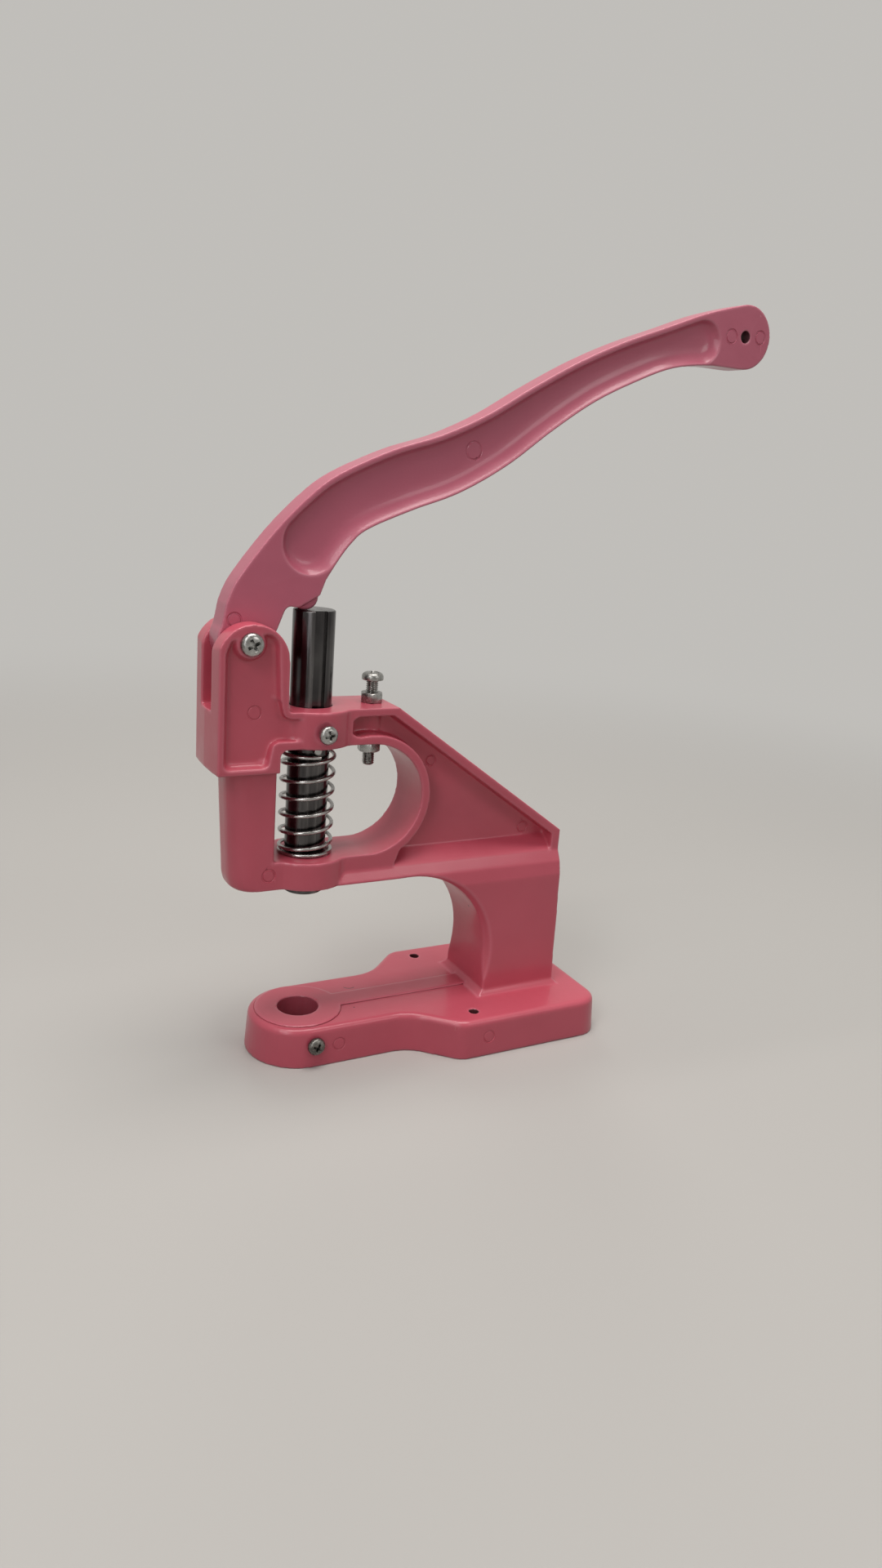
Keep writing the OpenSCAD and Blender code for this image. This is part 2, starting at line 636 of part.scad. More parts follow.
// Pan-head screw pointing down from its seat at z = 0, with a cross recess.
module pan_screw(d, length) {
    r = head_d(d) / 2;
    h = head_h(d);
    difference() {
        rotate_extrude($fn = fine) polygon([
            [0, -length], [d / 2 - 0.6, -length], [d / 2, -length + 0.6],
            [d / 2, 0], [r - 0.15, 0], [r, 0.15], [r, 0.35 * h], [0.95 * r, 0.58 * h],
            [0.84 * r, 0.78 * h], [0.66 * r, 0.91 * h], [0.4 * r, 0.98 * h], [0, h]
        ]);
        for (a = [0, 90]) rotate([0, 0, a + 20]) hull() {
            translate([-0.55 * r, -0.1 * d, h]) cube([1.1 * r, 0.2 * d, 0.1]);
            translate([-0.25 * r, -0.07 * d, 0.3 * h]) cube([0.5 * r, 0.14 * d, 0.1]);
        }
    }
}

// Hexagon nut standing on z = 0, corners eased at both ends.
module hex_nut() difference() {
    corner = nut_across / sqrt(3);
    face = nut_across / 2 - 0.1;
    intersection() {
        cylinder(h = nut_h, r = corner, $fn = 6);
        translate([0, 0, -1]) cylinder(h = nut_h + 1, r1 = corner + nut_h, r2 = face, $fn = fine);
        cylinder(h = nut_h + 1, r1 = face, r2 = corner + nut_h, $fn = fine);
    }
    translate([0, 0, -1]) cylinder(h = nut_h + 2, r = big_screw_d / 2 + 0.03, $fn = fine);
}

module stop_screw() color(steel_bright)
    translate([stop_screw_x, 0, arm_top + stop_height - head_h(big_screw_d)])
        pan_screw(big_screw_d, stop_length);
module stop_nut_upper() color(steel_bright)
    translate([stop_screw_x, 0, arm_top]) rotate([0, 0, 9]) hex_nut();
module stop_nut_lower() color(steel_bright)
    translate([stop_screw_x, 0, nut_seat - nut_h]) rotate([0, 0, 19]) hex_nut();

module pivot_screw() color(steel_bright) translate([pivot[0], -fork_half, pivot[1]]) rotate([90, 0, 0])
    pan_screw(big_screw_d, 2 * fork_half + nut_h + 1.5);
module pivot_nut() color(steel_bright)
    translate([pivot[0], fork_half, pivot[1]]) rotate([-90, 0, 0]) hex_nut();

module guide_screw() color(steel_bright) translate([0, -guide_screw_seat, guide_screw_z]) rotate([90, 0, 0])
    pan_screw(small_screw_d, guide_screw_seat - ram_r + slot_deep - 0.3);
module die_screw() color(steel_bright) translate([0, -nose_radius, die_screw_z]) rotate([90, 0, 0])
    pan_screw(small_screw_d, nose_radius - die_bore_d / 2 - 1);

frame();
lever();
ram();
spring_pin();
return_spring();
pivot_screw();
pivot_nut();
guide_screw();
stop_screw();
stop_nut_upper();
stop_nut_lower();
die_screw();
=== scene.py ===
import math
import time

import bpy
from mathutils import Matrix, Vector
from mathutils.kdtree import KDTree


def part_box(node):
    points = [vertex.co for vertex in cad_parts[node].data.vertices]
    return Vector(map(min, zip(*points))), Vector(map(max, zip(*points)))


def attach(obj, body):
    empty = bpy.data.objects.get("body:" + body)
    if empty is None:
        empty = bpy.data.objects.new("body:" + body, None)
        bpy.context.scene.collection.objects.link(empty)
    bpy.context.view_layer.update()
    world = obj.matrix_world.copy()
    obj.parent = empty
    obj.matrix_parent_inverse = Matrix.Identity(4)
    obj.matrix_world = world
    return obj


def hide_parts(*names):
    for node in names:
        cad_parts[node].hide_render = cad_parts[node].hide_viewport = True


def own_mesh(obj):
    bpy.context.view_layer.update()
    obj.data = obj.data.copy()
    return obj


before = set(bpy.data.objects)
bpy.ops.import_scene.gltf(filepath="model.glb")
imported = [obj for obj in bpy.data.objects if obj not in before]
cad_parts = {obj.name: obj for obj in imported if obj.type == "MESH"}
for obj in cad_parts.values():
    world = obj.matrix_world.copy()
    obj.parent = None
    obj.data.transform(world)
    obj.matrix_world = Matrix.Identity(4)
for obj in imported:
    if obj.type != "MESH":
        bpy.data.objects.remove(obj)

startTime = time.time()
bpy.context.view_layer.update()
scene = bpy.context.scene
mm = 0.001


def report(stage):
    print(f"{stage}: {time.time() - startTime:.1f} s")


def pick(piece):
    if bpy.context.mode != "OBJECT":
        bpy.ops.object.mode_set(mode="OBJECT")
    bpy.ops.object.select_all(action="DESELECT")
    piece.select_set(True)
    bpy.context.view_layer.objects.active = piece


def modify(piece, kind, **values):
    pick(piece)
    modifier = piece.modifiers.new(kind, kind)
    for name, value in values.items():
        setattr(modifier, name, value)
    bpy.ops.object.modifier_apply(modifier=modifier.name)


# Turns a piece in degrees about X, then Y, then Z, moves it, and leaves its place in the mesh.
def place(piece, turn=(0, 0, 0), at=(0, 0, 0)):
    turns = [Matrix.Rotation(math.radians(a), 4, axis) for a, axis in zip(turn, "XYZ")]
    pick(piece)
    moved = Matrix.Translation(Vector(at) * mm)
    piece.matrix_world = moved @ turns[2] @ turns[1] @ turns[0] @ piece.matrix_world
    bpy.ops.object.transform_apply(location=True, rotation=True, scale=True)
    return piece


def copied(piece, name):
    twin = piece.copy()
    twin.data = piece.data.copy()
    twin.name = name
    scene.collection.objects.link(twin)
    return twin


def cut(piece, cutter, operation="DIFFERENCE"):
    modify(piece, "BOOLEAN", object=cutter, operation=operation, solver="EXACT")
    bpy.data.objects.remove(cutter)


def join(pieces):
    pick(pieces[0])
    for other in pieces[1:]:
        other.select_set(True)
    bpy.ops.object.join()
    return pieces[0]


def shade(piece, angle):
    pick(piece)
    bpy.ops.object.shade_smooth_by_angle(angle=math.radians(angle))


# Turns a profile of (radius, height) points in millimetres about Z.
def turned(name, profile, segments=64):
    bpy.ops.object.select_all(action="DESELECT")
    bpy.ops.mesh.primitive_plane_add(size=mm)
    piece = bpy.context.object
    piece.name = name
    bpy.ops.object.mode_set(mode="EDIT")
    bpy.ops.mesh.select_mode(type="VERT")
    bpy.ops.mesh.merge(type="CENTER")
    radius, height = profile[0]
    bpy.ops.transform.translate(value=(radius * mm, 0, height * mm))
    for nextRadius, nextHeight in profile[1:]:
        step = ((nextRadius - radius) * mm, 0, (nextHeight - height) * mm)
        bpy.ops.mesh.extrude_region_move(TRANSFORM_OT_translate={"value": step})
        radius, height = nextRadius, nextHeight
    bpy.ops.mesh.select_all(action="SELECT")
    bpy.ops.mesh.spin(steps=segments, angle=2 * math.pi, center=(0, 0, 0), axis=(0, 0, 1))
    bpy.ops.mesh.select_all(action="SELECT")
    bpy.ops.mesh.remove_doubles(threshold=0.002 * mm)
    bpy.ops.mesh.normals_make_consistent(inside=False)
    bpy.ops.object.mode_set(mode="OBJECT")
    return piece


def block(low, high):
    bpy.ops.object.select_all(action="DESELECT")
    bpy.ops.mesh.primitive_cube_add(size=1)
    piece = bpy.context.object
    low, high = Vector(low), Vector(high)
    piece.scale = (high - low) * mm
    return place(piece, at=(low + high) / 2)


def rod(radius, length, turn=(0, 0, 0), at=(0, 0, 0), sides=64):
    bpy.ops.object.select_all(action="DESELECT")
    bpy.ops.mesh.primitive_cylinder_add(vertices=sides, radius=radius * mm, depth=length * mm)
    return place(bpy.context.object, turn, at)


view = {
    "sensor": 36, "lens": 24.90, "at": (-0.18728, -0.4730, 0.29014),
    "yaw": 28.918, "pitch": 16.004, "roll": 4.481,
}


def makeCamera():
    yaw, pitch, roll = (math.radians(view[k]) for k in ("yaw", "pitch", "roll"))
    ahead = Vector((math.sin(yaw) * math.cos(pitch), math.cos(yaw) * math.cos(pitch), -math.sin(pitch)))
    level = Vector((math.cos(yaw), -math.sin(yaw), 0))
    upright = level.cross(ahead)
    right = math.cos(roll) * level + math.sin(roll) * upright
    up = math.cos(roll) * upright - math.sin(roll) * level
    bpy.ops.object.camera_add()
    camera = bpy.context.object
    camera.matrix_world = Matrix.Translation(view["at"]) @ Matrix((right, up, -ahead)).transposed().to_4x4()
    camera.data.sensor_width = view["sensor"]
    camera.data.lens = view["lens"]
    camera.data.clip_start = 0.01
    scene.camera = camera


makeCamera()
report("camera")


# Adds a shader node. A socket given as a value is linked, and anything else is set.
def addNode(tree, kind, inputs=None, **values):
    made = tree.nodes.new("ShaderNode" + kind)
    for name, value in values.items():
        setattr(made, name, value)
    for name, value in (inputs or {}).items():
        if isinstance(value, bpy.types.NodeSocket):
            tree.links.new(value, made.inputs[name])
        else:
            made.inputs[name].default_value = value
    return made


def makeGroup(name, inputs, outputs):
    tree = bpy.data.node_groups.new(name, "ShaderNodeTree")
    for label, kind, value in inputs:
        socket = tree.interface.new_socket(label, in_out="INPUT", socket_type="NodeSocket" + kind)
        if value is not None:
            socket.default_value = value
    for label, kind in outputs:
        tree.interface.new_socket(label, in_out="OUTPUT", socket_type="NodeSocket" + kind)
    return tree, tree.nodes.new("NodeGroupInput").outputs, tree.nodes.new("NodeGroupOutput").inputs


def useGroup(tree, group, **inputs):
    made = tree.nodes.new("ShaderNodeGroup")
    made.node_tree = group
    for name, value in inputs.items():
        label = "".join(" " + c if c.isupper() else c for c in name).title()
        if isinstance(value, bpy.types.NodeSocket):
            tree.links.new(value, made.inputs[label])
        else:
            made.inputs[label].default_value = value
    return made.outputs


# Distance between two places.
def gap(tree, first, second):
    return addNode(tree, "VectorMath", {0: first, 1: second}, operation="DISTANCE").outputs["Value"]


def ramp(tree, value, low, high):
    return addNode(tree, "MapRange", {"Value": value, "From Min": low, "From Max": high}).outputs["Result"]


def maths(tree, operation, first, second=0.0):
    return addNode(tree, "Math", {0: first, 1: second}, operation=operation).outputs[0]


def mixed(tree, share, first, second):
    return addNode(tree, "Mix", {0: share, 6: first, 7: second}, data_type="RGBA").outputs[2]


# Slight swelling and fine orange peel of a sprayed or cast skin.
def makeSkinGroup():
    tree, given, out = makeGroup("sprayedSkin", [
        ("Place", "Vector", None), ("Peel Size", "Float", 900.0), ("Peel Depth", "Float", 0.02),
        ("Swell Size", "Float", 70.0), ("Swell Depth", "Float", 0.1), ("Height", "Float", 0.0),
    ], [("Normal", "Vector")])
    peel = addNode(tree, "TexNoise", {"Vector": given["Place"], "Scale": given["Peel Size"], "Detail": 1.0})
    swell = addNode(tree, "TexNoise", {"Vector": given["Place"], "Scale": given["Swell Size"], "Detail": 2.0})
    height = maths(tree, "ADD", maths(tree, "MULTIPLY", peel.outputs[0], given["Peel Depth"]),
                   maths(tree, "MULTIPLY", swell.outputs[0], given["Swell Depth"]))
    height = maths(tree, "ADD", height, given["Height"])
    bump = addNode(tree, "Bump", {"Height": height, "Distance": 0.001, "Strength": 1.0})
    tree.links.new(bump.outputs[0], out["Normal"])
    return tree


# Soft clouds of a second colour.
def makeCloudGroup():
    tree, given, out = makeGroup("clouds", [
        ("Place", "Vector", None), ("Base", "Color", (1, 1, 1, 1)), ("Tint", "Color", (1, 1, 1, 1)),
        ("Size", "Float", 20.0), ("Amount", "Float", 0.5),
    ], [("Color", "Color")])
    noise = addNode(tree, "TexNoise", {"Vector": given["Place"], "Scale": given["Size"], "Detail": 4.0})
    mask = maths(tree, "MULTIPLY", ramp(tree, noise.outputs[0], 0.35, 0.7), given["Amount"])
    tree.links.new(mixed(tree, mask, given["Base"], given["Tint"]), out["Color"])
    return tree


# Where paint is worn through: on sharp outer edges, broken up by noise.
def makeChipGroup():
    tree, given, out = makeGroup("edgeChips", [
        ("Place", "Vector", None), ("Edge", "Float", 0.0), ("Size", "Float", 260.0), ("Amount", "Float", 0.2),
    ], [("Mask", "Float")])
    noise = addNode(tree, "TexNoise", {"Vector": given["Place"], "Scale": given["Size"], "Detail": 3.0})
    patch = addNode(tree, "TexNoise", {"Vector": given["Place"], "Scale": 28.0, "Detail": 1.0})
    limit = maths(tree, "SUBTRACT", 1.0, given["Amount"])
    value = maths(tree, "MULTIPLY", maths(tree, "ADD", noise.outputs[0], patch.outputs[0]), given["Edge"])
    tree.links.new(ramp(tree, maths(tree, "SUBTRACT", value, limit), 0.0, 0.05), out["Mask"])
    return tree


# Small dark specks of grit and nicks.
def makeSpeckGroup():
    tree, given, out = makeGroup("specks", [
        ("Place", "Vector", None), ("Size", "Float", 60.0), ("Amount", "Float", 0.03),
    ], [("Mask", "Float")])
    cells = addNode(tree, "TexVoronoi", {"Vector": given["Place"], "Scale": given["Size"]})
    chosen = addNode(tree, "SeparateColor", {"Color": cells.outputs["Color"]})
    near = ramp(tree, cells.outputs["Distance"], 0.07, 0.03)
    few = ramp(tree, chosen.outputs[0], maths(tree, "SUBTRACT", 1.0, given["Amount"]), 1.0)
    tree.links.new(maths(tree, "MULTIPLY", near, maths(tree, "GREATER_THAN", few, 0.0)), out["Mask"])
    return tree


# Fine drawn or ground lines: noise, drawn out along an axis where its mapping stretches it.
def makeLineGroup():
    tree, given, out = makeGroup("drawnLines", [
        ("Place", "Vector", None), ("Size", "Float", 400.0),
        ("Depth", "Float", 0.02), ("Contrast", "Float", 0.5),
    ], [("Mask", "Float"), ("Normal", "Vector")])
    lines = addNode(tree, "TexNoise", {"Vector": given["Place"], "Scale": given["Size"], "Detail": 4.0})
    mask = maths(tree, "MULTIPLY", ramp(tree, lines.outputs[0], 0.35, 0.65), given["Contrast"])
    height = maths(tree, "MULTIPLY", lines.outputs[0], given["Depth"])
    bump = addNode(tree, "Bump", {"Height": height, "Distance": 0.001, "Strength": 1.0})
    tree.links.new(mask, out["Mask"])
    tree.links.new(bump.outputs[0], out["Normal"])
    return tree


# A short thin arc, as a scratch leaves.
def makeArcGroup():
    tree, given, out = makeGroup("arcMark", [
        ("Place", "Vector", None), ("Centre", "Vector", None),
        ("Radius", "Float", 0.01), ("Width", "Float", 0.0003),
        ("Middle", "Vector", None), ("Reach", "Float", 0.004),
    ], [("Mask", "Float")])
    off = gap(tree, given["Place"], given["Centre"])
    ring = maths(tree, "ABSOLUTE", maths(tree, "SUBTRACT", off, given["Radius"]))
    along = gap(tree, given["Place"], given["Middle"])
    thin = ramp(tree, ring, given["Width"], maths(tree, "MULTIPLY", given["Width"], 0.4))
    near = ramp(tree, along, given["Reach"], maths(tree, "MULTIPLY", given["Reach"], 0.7))
    tree.links.new(maths(tree, "MULTIPLY", thin, near), out["Mask"])
    return tree


# Flecks round one spot. The wear spots use them as pale flecks, partly bare metal and partly painted
# highlight; the pits use them as dark specks.
def makeFleckGroup():
    tree, given, out = makeGroup("flecks", [
        ("Place", "Vector", None), ("Spot", "Vector", None), ("Reach", "Float", 0.004),
        ("Size", "Float", 1400.0), ("Level", "Float", 0.6),
    ], [("Mask", "Float")])
    noise = addNode(tree, "TexNoise", {"Vector": given["Place"], "Scale": given["Size"], "Detail": 2.0})
    away = gap(tree, given["Place"], given["Spot"])
    near = ramp(tree, away, given["Reach"], maths(tree, "MULTIPLY", given["Reach"], 0.4))
    flecks = ramp(tree, noise.outputs[0], given["Level"], maths(tree, "ADD", given["Level"], 0.04))
    tree.links.new(maths(tree, "MULTIPLY", flecks, near), out["Mask"])
    return tree


# The wall of a drilled hole: everything closer to its axis than its radius.
def makeBoreGroup():
    tree, given, out = makeGroup("drilledBore", [
        ("Place", "Vector", None), ("Axis", "Vector", None),
        ("Across", "Vector", None), ("Radius", "Float", 0.003),
    ], [("Mask", "Float")])
    off = addNode(tree, "VectorMath", {0: given["Place"], 1: given["Axis"]}, operation="SUBTRACT").outputs[0]
    flat = addNode(tree, "VectorMath", {0: off, 1: given["Across"]}, operation="MULTIPLY").outputs[0]
    away = addNode(tree, "VectorMath", {0: flat}, operation="LENGTH").outputs["Value"]
    inside = ramp(tree, away, maths(tree, "ADD", given["Radius"], 0.0002), given["Radius"])
    tree.links.new(inside, out["Mask"])
    return tree


skinGroup = makeSkinGroup()
cloudGroup = makeCloudGroup()
chipGroup = makeChipGroup()
speckGroup = makeSpeckGroup()
lineGroup = makeLineGroup()
arcGroup = makeArcGroup()
fleckGroup = makeFleckGroup()
boreGroup = makeBoreGroup()


def startMaterial(name):
    material = bpy.data.materials.new(name)
    material.use_nodes = True
    tree = material.node_tree
    shader = tree.nodes["Principled BSDF"]
    spot = addNode(tree, "TexCoord").outputs["Object"]
    return material, tree, shader, spot


# Places and sizes are in millimetres. A bore has its place, axis, radius and darkness: the small drilled
# holes are dark bare metal, and the die hole's darkness is painted shade inside the hole.
enamelLooks = {
    "roseEnamel": {
        "rose": (0.60, 0.095, 0.140, 1), "deepRose": (0.545, 0.080, 0.120, 1),
        "paleEdge": (0.72, 0.22, 0.28, 1), "bareMetalAndGlint": (0.72, 0.66, 0.62, 1), "grit": (0.05, 0.02, 0.02, 1),
        "roughness": 0.34, "coat": 0.30,
        "scratches": [
            {"centre": (34.15, 13.75, 20.4), "radius": 4.0, "middle": (33.0, 10.2, 20.4), "reach": 3.4},
        ],
        "pits": [(27.1, -10.5, 20.4, 0.55), (66.5, -1.8, 106.2, 0.5)],
        # Wear spots: pale flecks that are partly worn paint and partly painted highlight on the edges.
        "wear": [(66.8, -46.0, 19.4, 6.0), (54.5, -33.4, 19.6, 4.5)],
        "bores": [
            # The last bore is the die hole, darkened by painted shade; the two small holes are dark bare
            # metal.
            (84.7, -35.35, 0, "Z", 2.6, 0.85), (84.7, 35.35, 0, "Z", 2.6, 0.85), (0, 0, 0, "Z", 10.6, 0.3),
        ],
    },
    "mauveEnamel": {
        "rose": (0.56, 0.125, 0.192, 1), "deepRose": (0.52, 0.110, 0.172, 1),
        "paleEdge": (0.70, 0.26, 0.33, 1), "bareMetalAndGlint": (0.78, 0.70, 0.62, 1), "grit": (0.05, 0.02, 0.02, 1),
        "roughness": 0.34, "coat": 0.30,
        # The wear spot at the lever tip is pale flecks, partly worn paint and partly painted highlight.
        "scratches": [], "pits": [], "wear": [(239.6, -7.0, 381.6, 2.4)],
        "bores": [(229.9, 0, 369.2, "Y", 3.0, 0.85)],
    },
}


# How strongly each mark shows, with the scratch's width in millimetres. The wear flecks are partly worn paint
# and partly painted highlight.
enamelMarks = {
    "thinEdge": 0.5, "wear": 0.7, "speck": 0.8, "scratch": 0.9, "scratchWidth": 0.42,
    "bareAndGlintShine": 0.8, "sunk": -0.1,
}


def makeEnamel(name):
    look, marks = enamelLooks[name], enamelMarks
    material, tree, shader, spot = startMaterial(name)
    edge = addNode(tree, "Attribute", attribute_name="edge").outputs["Fac"]
    clouds = useGroup(tree, cloudGroup, place=spot, base=look["rose"], tint=look["deepRose"], size=22.0,
                      amount=0.8)
    thin = maths(tree, "MULTIPLY", maths(tree, "POWER", edge, 2.0), marks["thinEdge"])
    colour = mixed(tree, thin, clouds["Color"], look["paleEdge"])
    bareAndGlints = useGroup(tree, chipGroup, place=spot, edge=edge, size=420.0, amount=-0.22)["Mask"]
    # Pale flecks at the wear spots: partly chipped paint, partly painted highlight.
    for x, y, z, reach in look["wear"]:
        fleckCentre = Vector((x, y, z)) * mm
        flecks = useGroup(tree, fleckGroup, place=spot, spot=fleckCentre, reach=reach * mm, size=900.0)["Mask"]
        bareAndGlints = maths(tree, "MAXIMUM", bareAndGlints, maths(tree, "MULTIPLY", flecks, marks["wear"]))
    colour = mixed(tree, bareAndGlints, colour, look["bareMetalAndGlint"])
    specks = useGroup(tree, speckGroup, place=spot, size=75.0, amount=0.05)["Mask"]
    dark = maths(tree, "MULTIPLY", specks, marks["speck"])
    for x, y, z, reach in look["pits"]:
        sunkAt = Vector((x, y, z)) * mm
        pit = useGroup(tree, fleckGroup, place=spot, spot=sunkAt, reach=reach * mm, level=0.2)["Mask"]
        dark = maths(tree, "MAXIMUM", dark, pit)
    for mark in look["scratches"]:
        arc = useGroup(tree, arcGroup, place=spot, centre=Vector(mark["centre"]) * mm,
                       radius=mark["radius"] * mm, middle=Vector(mark["middle"]) * mm,
                       reach=mark["reach"] * mm, width=marks["scratchWidth"] * mm)["Mask"]
        dark = maths(tree, "MAXIMUM", dark, maths(tree, "MULTIPLY", arc, marks["scratch"]))
    # Bore walls are darkened: bare metal in the small holes, painted shade in the die hole.
    for x, y, z, axis, radius, share in look["bores"]:
        across = [0.0 if letter == axis else 1.0 for letter in "XYZ"]
        bore = useGroup(tree, boreGroup, place=spot, axis=Vector((x, y, z)) * mm, across=across,
                        radius=radius * mm)["Mask"]
        dark = maths(tree, "MAXIMUM", dark, maths(tree, "MULTIPLY", bore, share))
    # The dark colour stands for grit, pits, scratches and bare bores, and for painted shade in the die hole.
    colour = mixed(tree, dark, colour, look["grit"])
    tree.links.new(colour, shader.inputs["Base Color"])
    dull = addNode(tree, "TexNoise", {"Vector": spot, "Scale": 35.0, "Detail": 3.0}).outputs[0]
    rough = addNode(tree, "MapRange", {
        "Value": dull, "From Min": 0.3, "From Max": 0.7,
        "To Min": look["roughness"] - 0.05, "To Max": look["roughness"] + 0.08,
    }).outputs[0]
    tree.links.new(rough, shader.inputs["Roughness"])
    tree.links.new(maths(tree, "MULTIPLY", bareAndGlints, marks["bareAndGlintShine"]), shader.inputs["Metallic"])
    sunk = maths(tree, "MULTIPLY", maths(tree, "ADD", bareAndGlints, dark), marks["sunk"])
    skin = useGroup(tree, skinGroup, place=spot, peelSize=800.0, peelDepth=0.03, swellSize=60.0,
                    swellDepth=0.25, height=sunk)
    tree.links.new(skin["Normal"], shader.inputs["Normal"])
    shader.inputs["Coat Weight"].default_value = look["coat"]
    shader.inputs["Coat Roughness"].default_value = 0.10
    return material


steelLooks = {
    "blackSteel": {
        "base": (0.045, 0.042, 0.043, 1), "tint": (0.085, 0.081, 0.080, 1), "streak": (0.22, 0.21, 0.205, 1),
        "share": 0.55, "roughness": 0.20, "size": 60.0, "stretch": (1, 1, 0.04),
        "lines": 300.0, "depth": 0.02,
    },
    "zincSteel": {
        "base": (0.42, 0.42, 0.405, 1), "tint": (0.17, 0.165, 0.155, 1), "streak": (0.60, 0.60, 0.58, 1),
        "share": 0.3, "roughness": 0.28, "size": 260.0, "stretch": (1, 1, 1), "lines": 900.0, "depth": 0.04,
    },
    "darkZinc": {
        "base": (0.20, 0.19, 0.175, 1), "tint": (0.055, 0.05, 0.045, 1), "streak": (0.40, 0.39, 0.37, 1),
        "share": 0.3, "roughness": 0.30, "size": 300.0, "stretch": (1, 1, 1), "lines": 900.0, "depth": 0.05,
    },
    "springSteel": {
        "base": (0.43, 0.42, 0.41, 1), "tint": (0.22, 0.21, 0.20, 1), "streak": (0.60, 0.59, 0.58, 1),
        "share": 0.3, "roughness": 0.20, "size": 90.0, "stretch": (1, 1, 4), "lines": 500.0, "depth": 0.02,
    },
}


def makeSteel(name):
    look = steelLooks[name]
    material, tree, shader, spot = startMaterial(name)
    clouds = useGroup(tree, cloudGroup, place=spot, base=look["base"], tint=look["tint"], size=look["size"],
                      amount=0.9)
    mapping = addNode(tree, "Mapping", {"Vector": spot, "Scale": look["stretch"]}).outputs[0]
    lines = useGroup(tree, lineGroup, place=mapping, size=look["lines"], depth=look["depth"], contrast=1.0)
    streaks = maths(tree, "MULTIPLY", maths(tree, "POWER", lines["Mask"], 2.0), look["share"])
    tree.links.new(mixed(tree, streaks, clouds["Color"], look["streak"]), shader.inputs["Base Color"])
    rough = addNode(tree, "MapRange", {
        "Value": lines["Mask"], "To Min": look["roughness"] - 0.06, "To Max": look["roughness"] + 0.10,
    }).outputs[0]
    tree.links.new(rough, shader.inputs["Roughness"])
    tree.links.new(lines["Normal"], shader.inputs["Normal"])
    shader.inputs["Metallic"].default_value = 1.0
    return material


finishes = {name: makeEnamel(name) for name in enamelLooks}
finishes.update({name: makeSteel(name) for name in steelLooks})
report("materials")


def finish(piece, node, body, material):
    piece.data.materials.clear()
    piece.data.materials.append(finishes[material])
    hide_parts(node)
    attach(piece, body)


# Points along the sharp outer edges of a merged mesh.
def sharpPoints(mesh, angle=40, step=0.0008):
    faces = {}
    for polygon in mesh.polygons:
        for key in polygon.edge_keys:
            faces.setdefault(key, []).append(polygon)
    points = []
    for (a, b), sides in faces.items():
        if len(sides) != 2:
            continue
        first, second = sides
        if first.normal.dot(second.normal) > math.cos(math.radians(angle)):
            continue
        if (second.center - first.center).dot(first.normal) > 0:
            continue
        start, end = mesh.vertices[a].co, mesh.vertices[b].co
        count = max(1, int((end - start).length / step))
        points.extend(start.lerp(end, i / count) for i in range(count + 1))
    return points


# Marks how close each point of a casting is to a sharp outer edge.
def markEdges(piece, points, reach=0.0022):
    tree = KDTree(len(points))
    for i, point in enumerate(points):
        tree.insert(point, i)
    tree.balance()
    attribute = piece.data.attributes.new("edge", "FLOAT", "POINT")
    attribute.data.foreach_set("value", [
        max(0.0, 1 - tree.find(vertex.co)[2] / reach) for vertex in piece.data.vertices
    ])


# Smooths a piece, each point by the share that its place in millimetres gets.
def smoothBy(piece, iterations, share):
    group = piece.vertex_groups.new(name="share")
    levels = {}
    for vertex in piece.data.vertices:
        levels.setdefault(round(share(*(vertex.co / mm)), 1), []).append(vertex.index)
    for level, points in levels.items():
        group.add(points, level, "REPLACE")
    modify(piece, "SMOOTH", factor=0.5, iterations=iterations, vertex_group="share")
    piece.vertex_groups.clear()


def evenShare(x, y, z):
    return 1.0


stepZone = {"around": (20, 24), "along": (0, 97), "across": (5, 8), "height": (19.8, 22.6), "share": 0.3}


# The low step round the land and the strip keeps its line.
def frameShare(x, y, z):
    zone = stepZone
    around = zone["around"][0] < math.hypot(x, y) < zone["around"][1]
    along = zone["along"][0] < x < zone["along"][1] and zone["across"][0] < abs(y) < zone["across"][1]
    atStep = zone["height"][0] < z < zone["height"][1] and (around or along)
    return zone["share"] if atStep else 1.0


dishZone = {"along": (-24, 213), "noseFrom": -13, "noseTop": 238, "rim": 6.4, "blend": 1.2}


# The dish runs smooth from rim to rim, and the rims and the nose stay.
def dishShare(x, y, z):
    zone = dishZone
    if not zone["along"][0] < x < zone["along"][1] or (x > zone["noseFrom"] and z < zone["noseTop"]):
        return 0.0
    return min(1.0, max(0.0, (zone["rim"] - abs(y)) / zone["blend"]))


creaseSpec = {
    "radius": 22.25, "wire": 0.34, "height": 20.5, "opening": ((15, -6.4, 19), (30, 6.4, 22)),
    "stripLength": 73, "stripMiddle": 57.7, "stripHalf": 6.45,
}


# The fine line that runs at the bottom of the step round the land and along the strip.
def landCrease():
    spec = creaseSpec
    bpy.ops.object.select_all(action="DESELECT")
    bpy.ops.mesh.primitive_torus_add(major_radius=spec["radius"] * mm, minor_radius=spec["wire"] * mm,
                                     major_segments=120, minor_segments=8)
    crease = place(bpy.context.object, at=(0, 0, spec["height"]))
    cut(crease, block(*spec["opening"]))
    for side in (-1, 1):
        at = (spec["stripMiddle"], side * spec["stripHalf"], spec["height"])
        cut(crease, rod(spec["wire"], spec["stripLength"], (0, 90, 0), at, 12), "UNION")
    return crease


# Half the thickness of an ejector ring's groove, and the radius of the ball that makes a nick.
markSize = {"groove": 0.5, "nick": 0.8}


